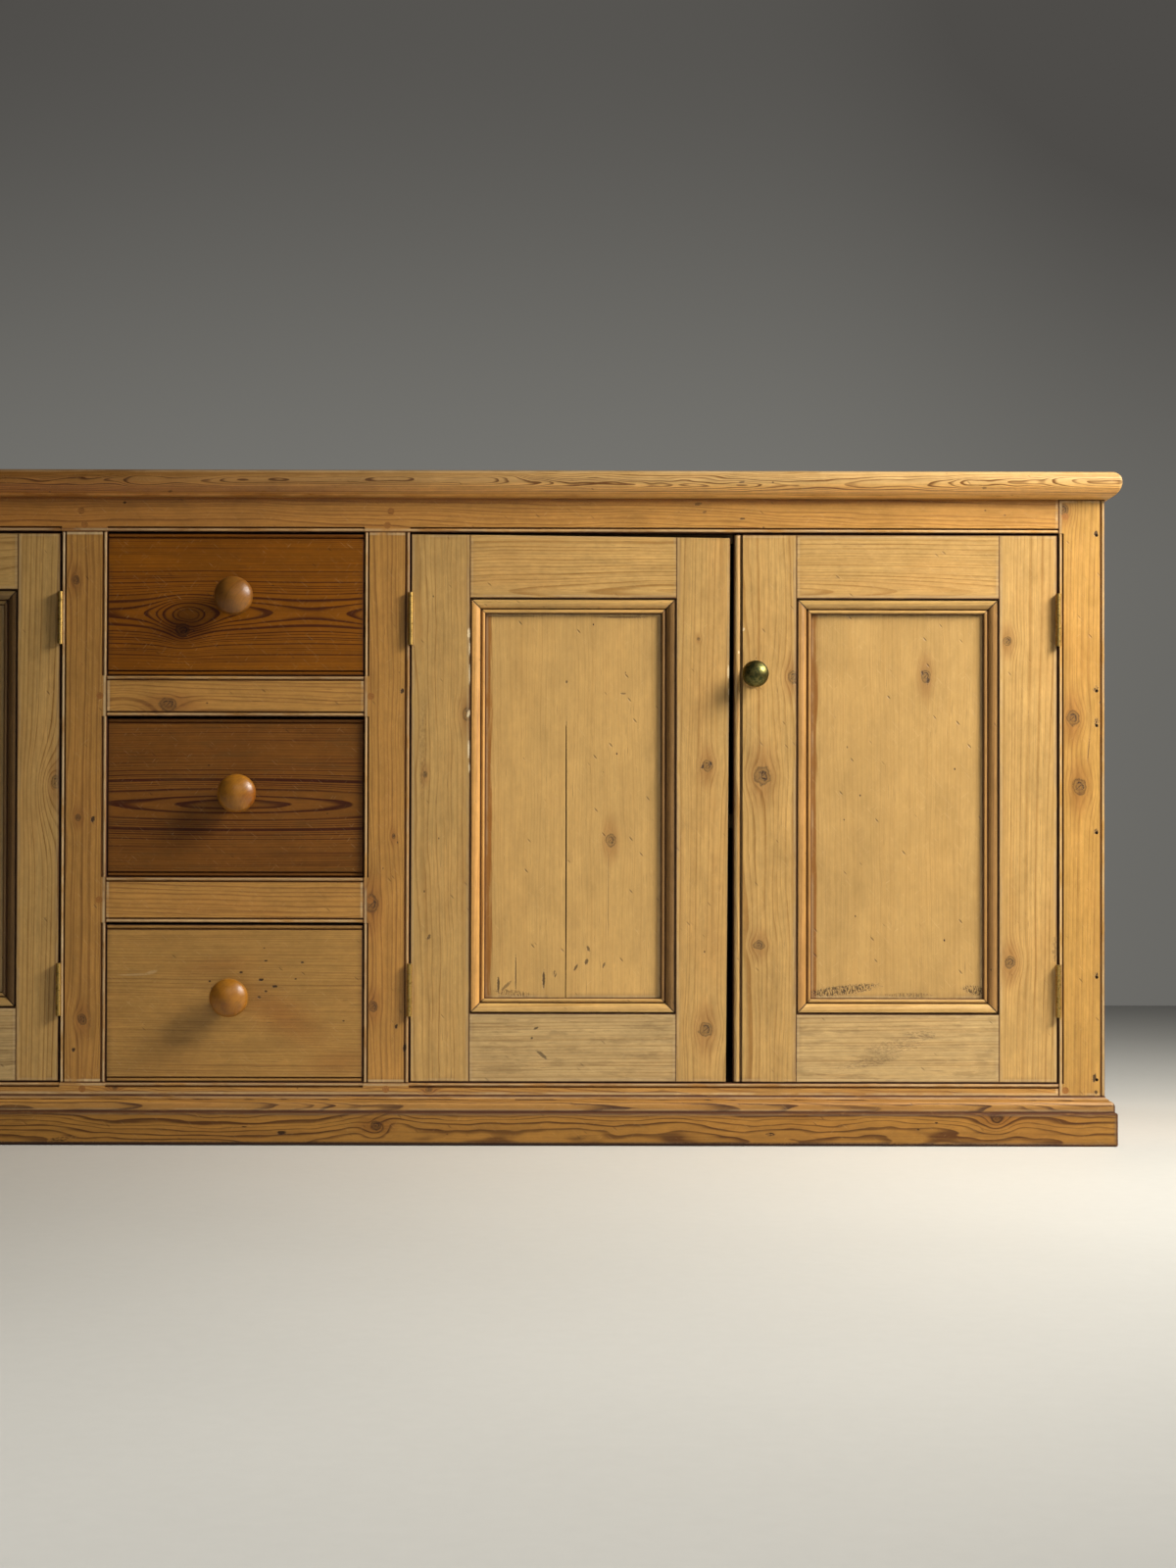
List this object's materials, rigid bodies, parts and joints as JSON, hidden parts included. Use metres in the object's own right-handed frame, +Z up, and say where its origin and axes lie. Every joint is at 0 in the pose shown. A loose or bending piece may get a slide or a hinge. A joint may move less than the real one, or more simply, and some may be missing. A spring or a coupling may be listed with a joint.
{
  "type": "dresser base",
  "caption": "Long stripped pine dresser base with framed and panelled cupboard doors, a bank of drawers with turned knobs, brass butt hinges and turn catches",
  "frame": {"origin": "on the floor under the middle of the piece's box", "axes": "+X to the right along the front, +Y from the front to the back, +Z up"},
  "size_m": [2.143, 0.5072, 0.815],
  "materials": {
    "pine_frame": "waxed honey pine",
    "pine_doors": "waxed pale pine",
    "pine_drawer_fronts": "waxed red-brown pine",
    "pine_knobs": "turned and waxed pine",
    "pine_carcase": "bare old pine",
    "brass": "aged brass",
    "iron": "rusted nail iron"
  },
  "bodies": {
    "case": {"worktop_front_board": "pine_frame", "worktop_back_board": "pine_frame", "top_rail": "pine_frame", "bottom_rail": "pine_frame", "left_end_stile": "pine_frame", "right_end_stile": "pine_frame", "left_muntin": "pine_frame", "right_muntin": "pine_frame", "upper_drawer_rail": "pine_frame", "lower_drawer_rail": "pine_frame", "left_end_board": "pine_frame", "right_end_board": "pine_frame", "left_partition": "pine_carcase", "right_partition": "pine_carcase", "cupboard_floor": "pine_carcase", "left_shelf": "pine_carcase", "right_shelf": "pine_carcase", "shelf_bearers": "pine_carcase", "back_boards": "pine_carcase", "back_rail": "pine_carcase", "plinth_front": "pine_frame", "plinth_returns": "pine_frame", "base_moulding": "pine_frame", "drawer_runners": "pine_carcase", "drawer_guides": "pine_carcase", "drawer_stops": "pine_carcase", "door_stops": "pine_carcase", "frame_pegs": "pine_frame", "frame_nails": "iron", "hinge_frame_leaves": "brass", "hinge_pins": "brass", "hinge_frame_screws": "brass"},
    "right_inner_door": {"right_inner_door_frame": "pine_doors", "right_inner_door_panel": "pine_doors", "right_inner_door_moulding": "pine_doors", "right_inner_door_brasses": "brass"},
    "right_outer_door": {"right_outer_door_frame": "pine_doors", "right_outer_door_panel": "pine_doors", "right_outer_door_moulding": "pine_doors", "right_outer_door_brasses": "brass"},
    "right_catch": {"right_turn_catch": "brass"},
    "left_inner_door": {"left_inner_door_frame": "pine_doors", "left_inner_door_panel": "pine_doors", "left_inner_door_moulding": "pine_doors", "left_inner_door_brasses": "brass"},
    "left_outer_door": {"left_outer_door_frame": "pine_doors", "left_outer_door_panel": "pine_doors", "left_outer_door_moulding": "pine_doors", "left_outer_door_brasses": "brass"},
    "left_catch": {"left_turn_catch": "brass"},
    "upper_drawer": {"upper_drawer_front": "pine_drawer_fronts", "upper_drawer_box": "pine_carcase", "upper_drawer_knob": "pine_knobs"},
    "middle_drawer": {"middle_drawer_front": "pine_drawer_fronts", "middle_drawer_box": "pine_carcase", "middle_drawer_knob": "pine_knobs"},
    "lower_drawer": {"lower_drawer_front": "pine_drawer_fronts", "lower_drawer_box": "pine_carcase", "lower_drawer_knob": "pine_knobs"}
  },
  "joints": [
    {"name": "right_inner_door_swing", "type": "hinge", "parent": "case", "child": "right_inner_door", "pos_m": [0.212, -0.22019, 0.407], "axis": [0, 0, -1], "range_deg": [0, 95]},
    {"name": "right_outer_door_swing", "type": "hinge", "parent": "case", "child": "right_outer_door", "pos_m": [0.997, -0.22019, 0.407], "axis": [0, 0, 1], "range_deg": [0, 170]},
    {"name": "right_catch_turn", "type": "hinge", "parent": "right_outer_door", "child": "right_catch", "pos_m": [0.629, -0.21639, 0.569], "axis": [0, 1, 0], "range_deg": [0, 90]},
    {"name": "left_inner_door_swing", "type": "hinge", "parent": "case", "child": "left_inner_door", "pos_m": [-0.212, -0.22019, 0.407], "axis": [0, 0, 1], "range_deg": [0, 95]},
    {"name": "left_outer_door_swing", "type": "hinge", "parent": "case", "child": "left_outer_door", "pos_m": [-0.997, -0.22019, 0.407], "axis": [0, 0, -1], "range_deg": [0, 170]},
    {"name": "left_catch_turn", "type": "hinge", "parent": "left_outer_door", "child": "left_catch", "pos_m": [-0.629, -0.21639, 0.569], "axis": [0, -1, 0], "range_deg": [0, 90]},
    {"name": "upper_drawer_slide", "type": "slide", "parent": "case", "child": "upper_drawer", "axis": [0, -1, 0], "range_m": [0, 0.32]},
    {"name": "middle_drawer_slide", "type": "slide", "parent": "case", "child": "middle_drawer", "axis": [0, -1, 0], "range_m": [0, 0.32]},
    {"name": "lower_drawer_slide", "type": "slide", "parent": "case", "child": "lower_drawer", "axis": [0, -1, 0], "range_m": [0, 0.32]}
  ]
}
